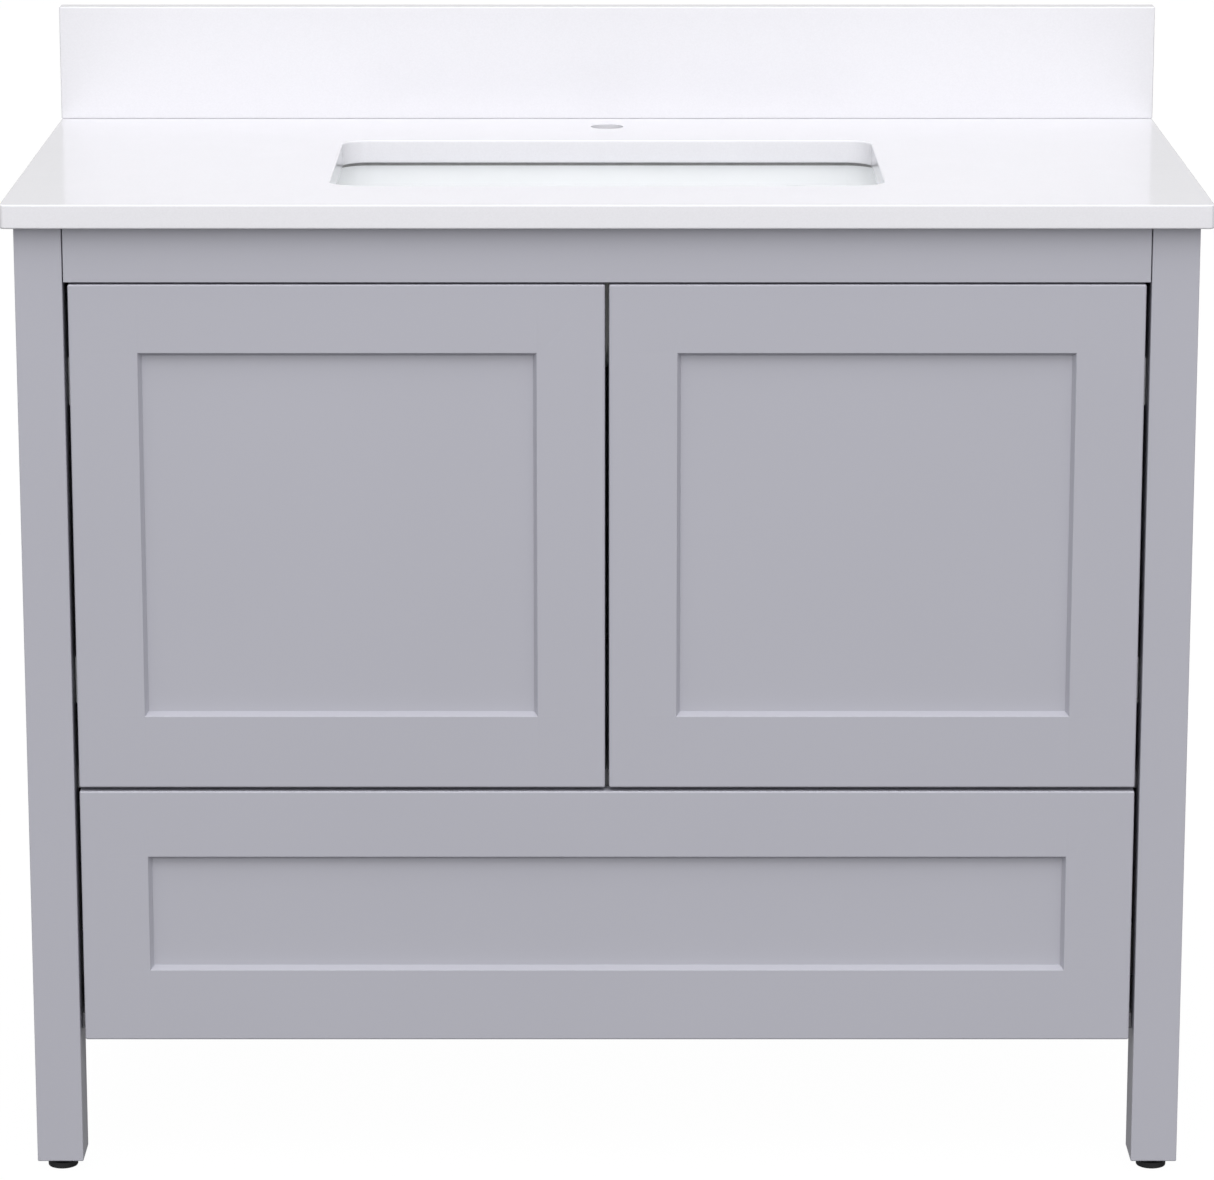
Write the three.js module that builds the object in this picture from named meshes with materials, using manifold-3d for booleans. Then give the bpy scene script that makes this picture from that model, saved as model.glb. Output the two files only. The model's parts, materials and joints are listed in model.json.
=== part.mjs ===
// Bathroom vanity cabinet: a stone top with a splash and an undermount basin, on a four-post
// cabinet with two inset doors and one drawer. Millimetres, +Z up, the front faces -Y, and the
// origin is on the floor at the middle of the overall box.
import * as THREE from "three";
import { mergeVertices } from "three/addons/utils/BufferGeometryUtils.js";
import Module from "manifold-3d";

const wasm = await Module();
wasm.setup();

// Stone top and splash
const topWidth = 1092;
const topDepth = 559;
const counterHeight = 922;
const slabThickness = 22;
const slabCornerRadius = 5;
const splashHeight = 112;
const splashThickness = 20;
const faucetHoleDiameter = 32;
const faucetSetback = 54; // hole centre to the splash face

// Basin under the stone
const cutoutWidth = 512;
const cutoutRadius = 25;
const stoneBeforeCutout = 113;
const stoneBehindCutout = 148;
const stoneReveal = 6; // stone standing over the bowl's wall
const basinDepth = 150;
const basinWall = 9;
const basinFloor = 12;
const basinFloorRadius = 24;
const basinRimWidth = 20;
const basinRimThickness = 12;
const drainDiameter = 45;
const clipSpread = 300; // between the two clips of one side
const clipWidth = 25;
const clipLeg = 17;
const clipSheet = 2.5;

// Cabinet frame
const cabinetWidth = 1070;
const frontOverhang = 14;
const backOverhang = 4;
const postWidth = 43;
const postDepth = 46;
const apronHeight = 51;
const openSpace = 120; // under the drawer, down to the end of the posts
const sidePanelThickness = 18;
const sidePanelSetback = 6;
const deckThickness = 18;
const bottomThickness = 15;
const backRailHeight = 90;
const backRailThickness = 18;
const backPanelThickness = 12;

// Levelling feet
const footHeight = 11; // floor to the end of the posts
const padDiameter = 28;
const padHeight = 6;
const collarDiameter = 15;
const studDiameter = 8;
const studLength = 32;
const studClearance = 0.5;

// Doors and drawer front
const faceThickness = 20;
const doorTopGap = 2;
const faceGap = 3.5; // doors to drawer front
const middleGap = 3.6; // door to door
const sideGap = 4.5; // door or drawer front to post
const drawerFrontHeight = 241;
const coverBelow = 4; // drawer front past the bottom panel
const stileWidth = 62;
const topRailWidth = 63;
const bottomRailWidth = 68;
const slopeWidth = 3.3; // sloped edge round each recessed panel
const recessDepth = 6.8;
const grooveDepth = 9;
const grooveWidth = 7;

// Concealed hinges
const doorOpening = THREE.MathUtils.degToRad(105);
const hingeFromEnd = 95;
const cupDiameter = 35;
const woodBeforeCup = 7;
const cupWall = 1;
const cupFlangeDiameter = 40;
const cupFlangeThickness = 1.2;
const pinDiameter = 3;
const pinBesideCentre = 8; // pin to the cup's centre
const eyeWall = 1;
const eyeClearance = 0.4; // eye to the cup's floor
const armThickness = 4;
const armHeight = 14;
const plateHeight = 44;
const plateThickness = 2.6;

// Drawer box and slides
const boxHeight = 165;
const boxBoard = 13;
const boxFloor = 6;
const boxFloorRise = 12;
const boxGroove = 6;
const boxAboveBottom = 10;
const boxBehind = 8;
const slideWidth = 12.7;
const slideSheet = 1.5;
const slideRise = 50; // slide centre above the box's lower edge
const slideShorter = 6; // slide compared with the box
const outerHalf = 22.5;
const middleHalf = 19;
const innerHalf = 14.5;
const outerReach = 9.7;
const middleStart = 3;
const middleReach = 8;
const innerStart = 6;

// Push latches
const latchFromMiddle = 35;
const latchWidth = 15;
const latchBodyLength = 47;
const latchStandoff = 5; // body behind the doors
const latchDrop = 34; // lower face of the body below the apron
const latchPlate = 3;
const latchFlange = 33;
const plungerDiameter = 8;
const plungerLength = 40;
const plungerClearance = 0.4;
const plungerPress = 3;

// Gap between pieces that are glued, screwed or resting on each other, and running clearance
const fit = 0.3;
const running = 0.7;

// Planes worked out from the sizes above
const slabFront = -topDepth / 2;
const splashFace = topDepth / 2 - splashThickness;
const slabUnder = counterHeight - slabThickness;
const frameTop = slabUnder - fit;
const faceY = slabFront + frontOverhang;
const rearY = topDepth / 2 - backOverhang;
const sideX = cabinetWidth / 2;
const postInnerX = sideX - postWidth;
const apronBottom = slabUnder - apronHeight;
const doorTop = apronBottom - doorTopGap;
const drawerBottom = footHeight + openSpace;
const drawerTop = drawerBottom + drawerFrontHeight;
const doorBottom = drawerTop + faceGap;
const bodyBottom = drawerBottom + coverBelow;
const faceBack = faceY + faceThickness;
const backPanelFront = rearY - backPanelThickness;
const panelInnerX = sideX - sidePanelSetback - sidePanelThickness;

// The hinge pin clears the cup's floor, and stands so far in from the door's edge that the
// door's front corner just clears the post as it turns
const cupDepth = faceThickness - woodBeforeCup;
const axisDepth = woodBeforeCup + cupWall + eyeClearance + eyeWall + fit + pinDiameter / 2;
const cornerRoom = sideGap - running;
const hingeInset = (axisDepth ** 2 - cornerRoom ** 2) / (2 * cornerRoom);
const cupToEdge = hingeInset + pinBesideCentre;
const flangeBehindAxis = faceThickness - axisDepth + cupFlangeThickness + fit;

const painted = finish("#b0b0b5", 0.45, 0);
const board = finish("#b9b2a6", 0.6, 0);
const stone = finish("#f6f6f7", 0.2, 0);
const ceramic = finish("#f1f1f2", 0.12, 0);
const rubber = finish("#17171a", 0.7, 0);
const zinc = finish("#b4b6ba", 0.35, 1);
const plastic = finish("#8d8f93", 0.5, 0);

const vanity = new THREE.Group();
vanity.name = "bathroom_vanity";

addStoneTop();
addBasin();
addFrame();
addFeet();
addDoors();
addDrawer();
addSlides();
addHinges();
addLatches();

export default vanity;

function finish(color, roughness, metalness) {
  return new THREE.MeshStandardMaterial({ color, roughness, metalness });
}

function add(name, geometry, material) {
  const mesh = new THREE.Mesh(geometry, material);
  mesh.name = name;
  vanity.add(mesh);
}

// A closed geometry as a solid that can be joined and cut.
function solid(geometry) {
  const bare = geometry.clone();
  bare.deleteAttribute("normal");
  bare.deleteAttribute("uv");
  const merged = mergeVertices(bare, 1e-3);
  return new wasm.Manifold(
    new wasm.Mesh({
      numProp: 3,
      vertProperties: merged.attributes.position.array,
      triVerts: new Uint32Array(merged.index.array),
    }),
  );
}

function geometryOf(made) {
  const mesh = made.getMesh();
  const geometry = new THREE.BufferGeometry();
  geometry.setAttribute("position", new THREE.BufferAttribute(mesh.vertProperties, 3));
  geometry.setIndex(new THREE.BufferAttribute(mesh.triVerts, 1));
  geometry.computeVertexNormals();
  return geometry;
}

function cut(geometry, ...tools) {
  return geometryOf(tools.reduce((made, tool) => made.subtract(solid(tool)), solid(geometry)));
}

function join(geometry, ...others) {
  return geometryOf(others.reduce((made, other) => made.add(solid(other)), solid(geometry)));
}

function box(x0, x1, y0, y1, z0, z1) {
  const geometry = new THREE.BoxGeometry(Math.abs(x1 - x0), y1 - y0, z1 - z0);
  return geometry.translate((x0 + x1) / 2, (y0 + y1) / 2, (z0 + z1) / 2);
}

function outline(points) {
  return new THREE.Shape(points.map(([u, v]) => new THREE.Vector2(u, v)));
}

// An outline in X and Y drawn out along Z.
function prismZ(shape, z0, z1, curveSegments = 12) {
  const options = { depth: z1 - z0, bevelEnabled: false, curveSegments };
  return new THREE.ExtrudeGeometry(shape, options).translate(0, 0, z0);
}

// An outline in Y and Z drawn out along X.
function prismX(shape, x0, x1) {
  const geometry = prismZ(shape, Math.min(x0, x1), Math.max(x0, x1));
  return geometry.rotateZ(Math.PI / 2).rotateY(Math.PI / 2);
}

// An outline in X and Z drawn out along Y.
function prismY(shape, y0, y1) {
  return prismZ(shape, -y1, -y0).rotateX(Math.PI / 2);
}

function cylinderY(diameter, x, z, y0, y1, sides = 32) {
  const geometry = new THREE.CylinderGeometry(diameter / 2, diameter / 2, y1 - y0, sides);
  return geometry.translate(x, (y0 + y1) / 2, z);
}

function cylinderZ(diameter, x, y, z0, z1, sides = 24) {
  const geometry = new THREE.CylinderGeometry(diameter / 2, diameter / 2, z1 - z0, sides);
  return geometry.rotateX(Math.PI / 2).translate(x, y, (z0 + z1) / 2);
}

// A rectangle with round corners, drawn anticlockwise.
function roundedRectangle(halfWidth, y0, y1, radius, Path = THREE.Shape) {
  const path = new Path();
  const quarter = Math.PI / 2;
  path.absarc(halfWidth - radius, y0 + radius, radius, -quarter, 0);
  path.absarc(halfWidth - radius, y1 - radius, radius, 0, quarter);
  path.absarc(radius - halfWidth, y1 - radius, radius, quarter, 2 * quarter);
  path.absarc(radius - halfWidth, y0 + radius, radius, 2 * quarter, 3 * quarter);
  path.closePath();
  return path;
}

// The stone slab with its cut-out and faucet hole, and the splash on its rear edge.
function addStoneTop() {
  const shape = roundedRectangle(topWidth / 2, slabFront, topDepth / 2, slabCornerRadius);
  const { front, rear } = cutoutEdges();
  shape.holes.push(roundedRectangle(cutoutWidth / 2, front, rear, cutoutRadius, THREE.Path));
  const faucet = new THREE.Path();
  faucet.absarc(0, splashFace - faucetSetback, faucetHoleDiameter / 2, 0, 2 * Math.PI);
  shape.holes.push(faucet);
  const slab = prismZ(shape, slabUnder, counterHeight, 8);
  // A shallow seat for the glue under the splash.
  const seat = box(-topWidth, topWidth, splashFace - fit, topDepth, counterHeight - fit,
    counterHeight + 1);
  add("countertop", cut(slab, seat), stone);

  const splash = box(-topWidth / 2, topWidth / 2, splashFace, topDepth / 2,
    counterHeight, counterHeight + splashHeight);
  add("backsplash", splash, stone);
}

function cutoutEdges() {
  return { front: slabFront + stoneBeforeCutout, rear: splashFace - stoneBehindCutout };
}

// A block whose lower edges are round, from its floor up to z1.
function roundedBlock(growth, z0, z1, floorRadius) {
  const { front, rear } = cutoutEdges();
  const shape = roundedRectangle(cutoutWidth / 2 + growth, front - growth, rear + growth,
    cutoutRadius + growth);
  const above = z1 - z0 - floorRadius;
  const geometry = new THREE.ExtrudeGeometry(shape, {
    depth: above,
    bevelThickness: floorRadius,
    bevelSize: floorRadius,
    bevelOffset: -floorRadius,
    bevelSegments: 4,
    curveSegments: 6,
  });
  geometry.translate(0, 0, z0 + floorRadius);
  const lid = box(-topWidth, topWidth, -topDepth, topDepth, z1, z1 + 2 * floorRadius);
  return cut(geometry, lid);
}

function addBasin() {
  const rimTop = slabUnder - fit;
  const lowest = rimTop - basinDepth;
  const outside = stoneReveal + basinWall;
  const { front, rear } = cutoutEdges();
  const shell = roundedBlock(outside, lowest, rimTop, basinFloorRadius);
  const rimEdge = outside + basinRimWidth;
  const rimShape = roundedRectangle(cutoutWidth / 2 + rimEdge, front - rimEdge, rear + rimEdge,
    cutoutRadius + rimEdge);
  const rim = prismZ(rimShape, rimTop - basinRimThickness, rimTop, 6);
  const hollow = roundedBlock(stoneReveal, lowest + basinFloor, rimTop + 1, basinFloorRadius);
  const drain = cylinderZ(drainDiameter, 0, (front + rear) / 2, lowest - 1,
    lowest + basinFloor + 1, 32);
  add("sink_basin", cut(join(shell, rim), hollow, drain), ceramic);

  for (const [side, edge, away] of [["front", front - rimEdge, -1], ["rear", rear + rimEdge, 1]])
    for (const [hand, x] of [["left", -clipSpread / 2], ["right", clipSpread / 2]])
      add(`sink_clip_${side}_${hand}`, clip(x, edge, away, rimTop), zinc);
}

// A bent strip: one leg under the stone, one under the basin's rim.
function clip(x, edge, away, rimTop) {
  const rimUnder = rimTop - basinRimThickness - fit;
  const stoneUnder = slabUnder - fit;
  const riser = edge + away * fit;
  const points = [
    [riser, rimUnder],
    [riser, stoneUnder],
    [riser + away * (clipLeg + clipSheet), stoneUnder],
    [riser + away * (clipLeg + clipSheet), stoneUnder - clipSheet],
    [riser + away * clipSheet, stoneUnder - clipSheet],
    [riser + away * clipSheet, rimUnder - clipSheet],
    [riser - away * clipLeg, rimUnder - clipSheet],
    [riser - away * clipLeg, rimUnder],
  ];
  return prismX(outline(points), x - clipWidth / 2, x + clipWidth / 2);
}

// Posts, apron, rails, side panels, deck and bottom.
function addFrame() {
  const bore = studDiameter + 2 * studClearance;
  for (const { name, x, y } of postPlaces()) {
    const post = box(x - postWidth / 2, x + postWidth / 2, y - postDepth / 2, y + postDepth / 2,
      footHeight, frameTop);
    const hole = cylinderZ(bore, x, y, footHeight - 1, footHeight + studLength + 2);
    add(`${name}_post`, cut(post, hole), painted);
  }

  const between = postInnerX - fit;
  add("apron", box(-between, between, faceY, faceBack, apronBottom, frameTop), painted);
  const railFront = rearY - backRailThickness;
  const railBottom = slabUnder - backRailHeight;
  add("back_top_rail", box(-between, between, railFront, rearY, railBottom, frameTop), board);
  add("back_panel", box(-between, between, backPanelFront, rearY, bodyBottom, railBottom - fit),
    board);

  for (const [hand, s] of [["left", -1], ["right", 1]]) {
    const outer = s * (sideX - sidePanelSetback);
    const panel = box(s * panelInnerX, outer, faceY + postDepth + fit, rearY - postDepth - fit,
      bodyBottom, frameTop);
    add(`${hand}_side_panel`, panel, painted);
  }

  const deckFront = faceY + axisDepth + doorSwing() + running;
  add("deck", prismZ(shelfOutline(deckFront), deckTop() - deckThickness, deckTop()), board);
  const bottomFront = faceBack + 2 * running;
  add("bottom_panel", prismZ(shelfOutline(bottomFront), bodyBottom, bodyBottom + bottomThickness),
    board);
}

function postPlaces() {
  const x = sideX - postWidth / 2;
  const front = faceY + postDepth / 2;
  const rear = rearY - postDepth / 2;
  return [
    { name: "front_left", x: -x, y: front },
    { name: "front_right", x, y: front },
    { name: "rear_left", x: -x, y: rear },
    { name: "rear_right", x, y: rear },
  ];
}

// The deck closes the line between the doors and the drawer front from behind.
function deckTop() {
  return doorBottom + deckThickness / 2;
}

// A board that is notched round the four posts.
function shelfOutline(front) {
  const wide = panelInnerX - fit;
  const narrow = postInnerX - fit;
  const frontNotch = faceY + postDepth + fit;
  const rearNotch = rearY - postDepth - fit;
  const rear = backPanelFront - fit;
  const right = [
    [narrow, front],
    [narrow, frontNotch],
    [wide, frontNotch],
    [wide, rearNotch],
    [narrow, rearNotch],
    [narrow, rear],
  ];
  const left = right.map(([x, y]) => [-x, y]).reverse();
  return outline([...right, ...left]);
}

// A rubber pad on a threaded stud, in the end of each post.
function addFeet() {
  const pad = padDiameter / 2;
  const collar = collarDiameter / 2;
  const stud = studDiameter / 2;
  const edge = 1.2;
  const profile = [
    [0, 0],
    [pad - edge, 0],
    [pad, edge],
    [pad, padHeight - edge],
    [pad - edge, padHeight],
    [collar, padHeight + edge],
    [collar, footHeight - fit],
    [stud, footHeight - fit],
    [stud, footHeight + studLength],
    [0, footHeight + studLength],
  ].map(([r, z]) => new THREE.Vector2(r, z));
  for (const { name, x, y } of postPlaces()) {
    const foot = new THREE.LatheGeometry(profile, 24).rotateX(Math.PI / 2).translate(x, y, 0);
    add(`${name}_foot`, foot, rubber);
  }
}

// Section of a stile or rail: u runs from the outer edge towards the panel, v from the front
// face backwards. place turns a [u, v] pair into the outline's own axes.
function frameSection(width, place) {
  const inner = width + slopeWidth;
  const grooveBack = recessDepth + grooveWidth;
  const points = [
    [0, 0],
    [width, 0],
    [inner, recessDepth],
    [inner - grooveDepth, recessDepth],
    [inner - grooveDepth, grooveBack],
    [inner, grooveBack],
    [inner, faceThickness],
    [0, faceThickness],
  ];
  return outline(points.map(place));
}

// One framed front: two stiles, two rails coped over the stiles' edges, and a panel held in
// their grooves. bores are the hinge cups' tools for the stile on the hinge side.
function addFramedFront(prefix, x0, x1, z0, z1, hingeSide = "", bores = []) {
  const stiles = { left: [x0, 1], right: [x1, -1] };
  const stile = ([x, inwards], shift = 0, back = 0) => {
    const place = ([u, v]) => [x + inwards * (u + shift), faceY + v + back];
    return prismZ(frameSection(stileWidth, place), z0 - shift, z1 + shift);
  };
  for (const [hand, at] of Object.entries(stiles)) {
    const plain = stile(at);
    const bored = hand === hingeSide ? cut(plain, ...bores) : plain;
    add(`${prefix}_${hand}_stile`, bored, painted);
  }

  const cope = Object.values(stiles).flatMap((at) => [stile(at, fit, fit), stile(at, fit, -fit)]);
  const tenon = stileWidth + slopeWidth - grooveDepth + fit;
  const rails = { top: [z1, -1, topRailWidth], bottom: [z0, 1, bottomRailWidth] };
  for (const [level, [z, inwards, width]] of Object.entries(rails)) {
    const section = frameSection(width, ([u, v]) => [faceY + v, z + inwards * u]);
    add(`${prefix}_${level}_rail`, cut(prismX(section, x0 + tenon, x1 - tenon), ...cope), painted);
  }

  const reach = slopeWidth - grooveDepth + fit;
  const panelFront = faceY + recessDepth + fit / 2;
  const panelBack = faceY + recessDepth + grooveWidth - fit;
  const panel = box(x0 + stileWidth + reach, x1 - stileWidth - reach, panelFront, panelBack,
    z0 + bottomRailWidth + reach, z1 - topRailWidth - reach);
  add(`${prefix}_panel`, panel, painted);
}

function addDoors() {
  const outer = postInnerX - sideGap;
  const bores = (s) => hingeHeights().map((z) => {
    const x = s * (outer - cupToEdge);
    return cylinderY(cupDiameter + 2 * fit, x, z, faceBack - cupDepth - fit, faceBack + 1);
  });
  addFramedFront("left_door", -outer, -middleGap / 2, doorBottom, doorTop, "left", bores(-1));
  addFramedFront("right_door", middleGap / 2, outer, doorBottom, doorTop, "right", bores(1));
}

// The box stands on the slides: two sides, a front and a back between them, and a floor.
function addDrawer() {
  const outer = postInnerX - sideGap;
  addFramedFront("drawer_front", -outer, outer, drawerBottom, drawerTop);

  const { half, front, rear, low, high } = drawerBox();
  const grooveLow = low + boxFloorRise;
  const grooveHigh = grooveLow + boxFloor + 2 * fit;
  for (const [hand, s] of [["left", -1], ["right", 1]]) {
    const section = [
      [half, low],
      [half, high],
      [half - boxBoard, high],
      [half - boxBoard, grooveHigh],
      [half - boxBoard + boxGroove, grooveHigh],
      [half - boxBoard + boxGroove, grooveLow],
      [half - boxBoard, grooveLow],
      [half - boxBoard, low],
    ].map(([x, z]) => [s * x, z]);
    add(`drawer_box_${hand}_side`, prismY(outline(section), front, rear), board);
  }
  const inside = half - boxBoard - fit;
  const frontBoard = box(-inside, inside, front, front + boxBoard, low, high);
  const frontGroove = box(-half, half, front + boxBoard - boxGroove, front + boxBoard + 1,
    grooveLow, grooveHigh);
  add("drawer_box_front", cut(frontBoard, frontGroove), board);
  add("drawer_box_back", box(-inside, inside, rear - boxBoard, rear, grooveHigh, high), board);
  const floorHalf = half - boxBoard + boxGroove - fit;
  const floorFront = front + boxBoard - boxGroove + fit;
  add("drawer_box_floor", box(-floorHalf, floorHalf, floorFront, rear, grooveLow + fit,
    grooveLow + fit + boxFloor), board);
}

function drawerBox() {
  const low = bodyBottom + bottomThickness + boxAboveBottom;
  return {
    half: postInnerX - slideWidth - 2 * fit,
    front: faceBack + fit,
    rear: backPanelFront - boxBehind,
    low,
    high: low + boxHeight,
  };
}

// A C section from u0 to u1, closed at the web's end.
function channel(u0, u1, halfHeight, webAtEnd) {
  const [web, lip] = webAtEnd ? [u1, u0] : [u0, u1];
  const inside = web + Math.sign(lip - web) * slideSheet;
  return [
    [web, -halfHeight],
    [lip, -halfHeight],
    [lip, slideSheet - halfHeight],
    [inside, slideSheet - halfHeight],
    [inside, halfHeight - slideSheet],
    [lip, halfHeight - slideSheet],
    [lip, halfHeight],
    [web, halfHeight],
  ];
}

// Three nested members on each side: on the posts, between, and on the drawer.
function addSlides() {
  const { low, front, rear } = drawerBox();
  const start = front + 2 * running;
  const end = start + (rear - front) - slideShorter;
  const members = {
    cabinet_member: channel(0, outerReach, outerHalf, false),
    middle_member: channel(middleStart, middleStart + middleReach, middleHalf, false),
    drawer_member: channel(innerStart, slideWidth, innerHalf, true),
  };
  for (const [hand, s] of [["left", -1], ["right", 1]])
    for (const [member, section] of Object.entries(members)) {
      const place = ([u, v]) => [s * (postInnerX - fit - u), low + slideRise + v];
      add(`${hand}_slide_${member}`, prismY(outline(section.map(place)), start, end), zinc);
    }
}

// Radius that the door's corners and the cup's flange sweep round the axis.
function doorSwing() {
  return Math.hypot(hingeInset, Math.max(flangeBehindAxis, axisDepth));
}

function hingeHeights() {
  return [doorBottom + hingeFromEnd, doorTop - hingeFromEnd];
}

function addHinges() {
  const levels = ["lower", "upper"];
  for (const [hand, s] of [["left", -1], ["right", 1]])
    hingeHeights().forEach((z, i) => {
      add(`${hand}_door_${levels[i]}_hinge_cup`, hingeCup(s, z), zinc);
      add(`${hand}_door_${levels[i]}_hinge_arm`, hingeArm(s, z), zinc);
    });
}

// A cup in the stile, with a flange on its back and the pin across its mouth.
function hingeCup(s, z) {
  const outer = cupDiameter / 2;
  const inner = outer - cupWall;
  const profile = [
    [0, 0],
    [outer, 0],
    [outer, cupDepth + fit],
    [cupFlangeDiameter / 2, cupDepth + fit],
    [cupFlangeDiameter / 2, cupDepth + fit + cupFlangeThickness],
    [inner, cupDepth + fit + cupFlangeThickness],
    [inner, cupWall],
    [0, cupWall],
  ].map(([r, y]) => new THREE.Vector2(r, y));
  const edge = postInnerX - sideGap;
  const cup = new THREE.LatheGeometry(profile, 32);
  cup.translate(s * (edge - cupToEdge), faceBack - cupDepth, z);
  const pinHalf = Math.sqrt((outer - cupWall / 2) ** 2 - pinBesideCentre ** 2);
  const pin = cylinderZ(pinDiameter, s * (edge - hingeInset), faceY + axisDepth,
    z - pinHalf, z + pinHalf, 16);
  return join(cup, pin);
}

// From the eye on the pin inwards, out of the cup, across to the post, and its plate. The neck
// is as long as the stile's edge needs to pass inside it when the door is fully open.
function hingeArm(s, z) {
  const half = armThickness / 2;
  const neck = Math.sin(doorOpening)
    * (flangeBehindAxis + half + 1.5 * running - hingeInset / Math.tan(doorOpening));
  const across = doorSwing() + running + half;
  const post = -hingeInset - sideGap + fit;
  const points = [
    [0, -half],
    [neck + half, -half],
    [neck + half, across + half],
    [post, across + half],
    [post, across - half],
    [neck - half, across - half],
    [neck - half, half],
    [0, half],
  ];
  const axisX = s * (postInnerX - sideGap - hingeInset);
  const axisY = faceY + axisDepth;
  const place = ([u, v]) => [axisX - s * u, axisY + v];
  const strip = prismZ(outline(points.map(place)), z - armHeight / 2, z + armHeight / 2);
  const boreDiameter = pinDiameter + 2 * fit;
  const eye = cylinderZ(boreDiameter + 2 * eyeWall, axisX, axisY, z - armHeight / 2,
    z + armHeight / 2);
  const bore = cylinderZ(boreDiameter, axisX, axisY, z - armHeight, z + armHeight, 16);
  const [plateX, plateY] = place([post, across - half]);
  const plate = box(plateX - s * plateThickness, plateX, plateY, faceY + postDepth - fit,
    z - plateHeight / 2, z + plateHeight / 2);
  return cut(join(strip, eye, plate), bore);
}

// A spring plunger behind the free corner of each door, in a body that hangs on the apron.
function addLatches() {
  const bodyFront = faceBack + latchStandoff;
  const low = apronBottom - latchDrop;
  const high = apronBottom - running;
  const plate = faceBack + fit;
  const points = [
    [bodyFront, low],
    [bodyFront + latchBodyLength, low],
    [bodyFront + latchBodyLength, high],
    [plate + latchPlate, high],
    [plate + latchPlate, high + latchFlange],
    [plate, high + latchFlange],
    [plate, high - latchPlate],
    [bodyFront, high - latchPlate],
  ];
  const z = (low + high - latchPlate) / 2;
  const tip = faceBack + fit;
  const tail = tip + plungerLength;
  const bore = plungerDiameter + 2 * plungerClearance;
  for (const [hand, s] of [["left", -1], ["right", 1]]) {
    const x = s * latchFromMiddle;
    const body = prismX(outline(points), x - latchWidth / 2, x + latchWidth / 2);
    const socket = cylinderY(bore, x, z, bodyFront - 1, tail + plungerPress + running, 24);
    add(`${hand}_latch_body`, cut(body, socket), plastic);
    add(`${hand}_latch_plunger`, plunger(x, z, tip, tail), plastic);
  }
}

function plunger(x, z, tip, tail) {
  const radius = plungerDiameter / 2;
  const edge = 1;
  const profile = [
    [0, tip],
    [radius - edge, tip],
    [radius, tip + edge],
    [radius, tail],
    [0, tail],
  ].map(([r, y]) => new THREE.Vector2(r, y));
  return new THREE.LatheGeometry(profile, 20).translate(x, 0, z);
}
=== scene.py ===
import json
from math import copysign, cos, pi, radians, sin

import bmesh
import bpy
from mathutils import Matrix, Vector

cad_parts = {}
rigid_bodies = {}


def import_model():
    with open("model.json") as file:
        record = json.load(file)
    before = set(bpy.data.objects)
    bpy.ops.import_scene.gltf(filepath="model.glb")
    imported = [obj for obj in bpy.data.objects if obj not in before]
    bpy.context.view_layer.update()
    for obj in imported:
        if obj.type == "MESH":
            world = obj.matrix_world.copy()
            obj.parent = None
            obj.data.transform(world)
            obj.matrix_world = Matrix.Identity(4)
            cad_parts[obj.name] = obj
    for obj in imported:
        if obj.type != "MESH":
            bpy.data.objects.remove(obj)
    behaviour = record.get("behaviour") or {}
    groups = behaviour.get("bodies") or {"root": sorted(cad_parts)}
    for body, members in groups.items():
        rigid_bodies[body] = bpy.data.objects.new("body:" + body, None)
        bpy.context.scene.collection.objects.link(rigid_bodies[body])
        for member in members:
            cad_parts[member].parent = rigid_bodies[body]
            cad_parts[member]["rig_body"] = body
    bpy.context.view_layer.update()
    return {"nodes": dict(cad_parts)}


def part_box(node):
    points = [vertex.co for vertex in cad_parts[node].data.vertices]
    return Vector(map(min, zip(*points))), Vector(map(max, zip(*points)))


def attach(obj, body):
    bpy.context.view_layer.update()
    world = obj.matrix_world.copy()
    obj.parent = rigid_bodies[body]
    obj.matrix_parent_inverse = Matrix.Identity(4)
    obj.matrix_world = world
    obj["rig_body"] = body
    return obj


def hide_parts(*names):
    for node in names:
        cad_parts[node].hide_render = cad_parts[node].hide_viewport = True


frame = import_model()
mm = 0.001    # lengths are in metres, and the front faces -Y


def pieceName(node):
    first, *others = node.split("_")
    return first + "".join(word.capitalize() for word in others)


def nodeCopy(node):
    # the node's mesh is loose triangles, so its copy is merged and its flat faces made whole
    bm = bmesh.new()
    bm.from_mesh(frame["nodes"][node].data)
    bmesh.ops.remove_doubles(bm, verts=bm.verts, dist=0.005 * mm)
    bmesh.ops.dissolve_limit(bm, angle_limit=radians(0.5), verts=bm.verts, edges=bm.edges)
    return bm


def sharpEdges(bm, keep=lambda edge: True, angle=35):
    return [e for e in bm.edges
            if len(e.link_faces) == 2 and e.calc_face_angle() > radians(angle) and keep(e)]


def ease(bm, edges, width, segments=2):
    bmesh.ops.bevel(bm, geom=edges, offset=width, segments=segments, profile=0.5,
                    affect="EDGES", material=-1, clamp_overlap=True)


def liesOn(edge, axis, value):
    return all(abs(v.co[axis] - value) < 0.02 * mm for v in edge.verts)


def finishPiece(bm, node, slot, name=None, stands=True, smoothAngle=35):
    # stands is False for a piece that goes with another one that replaces the node
    bmesh.ops.recalc_face_normals(bm, faces=bm.faces)
    name = name or pieceName(node)
    mesh = bpy.data.meshes.new(name)
    bm.to_mesh(mesh)
    bm.free()
    piece = bpy.data.objects.new(name, mesh)
    bpy.context.scene.collection.objects.link(piece)
    mesh.materials.append(finishes[slot])
    mesh.polygons.foreach_set("use_smooth", [True] * len(mesh.polygons))
    mesh.set_sharp_from_angle(angle=radians(smoothAngle))
    evenShading = piece.modifiers.new("evenShading", "WEIGHTED_NORMAL")
    evenShading.keep_sharp = True
    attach(piece, frame["nodes"][node]["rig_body"])
    if stands:
        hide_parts(node)


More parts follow.
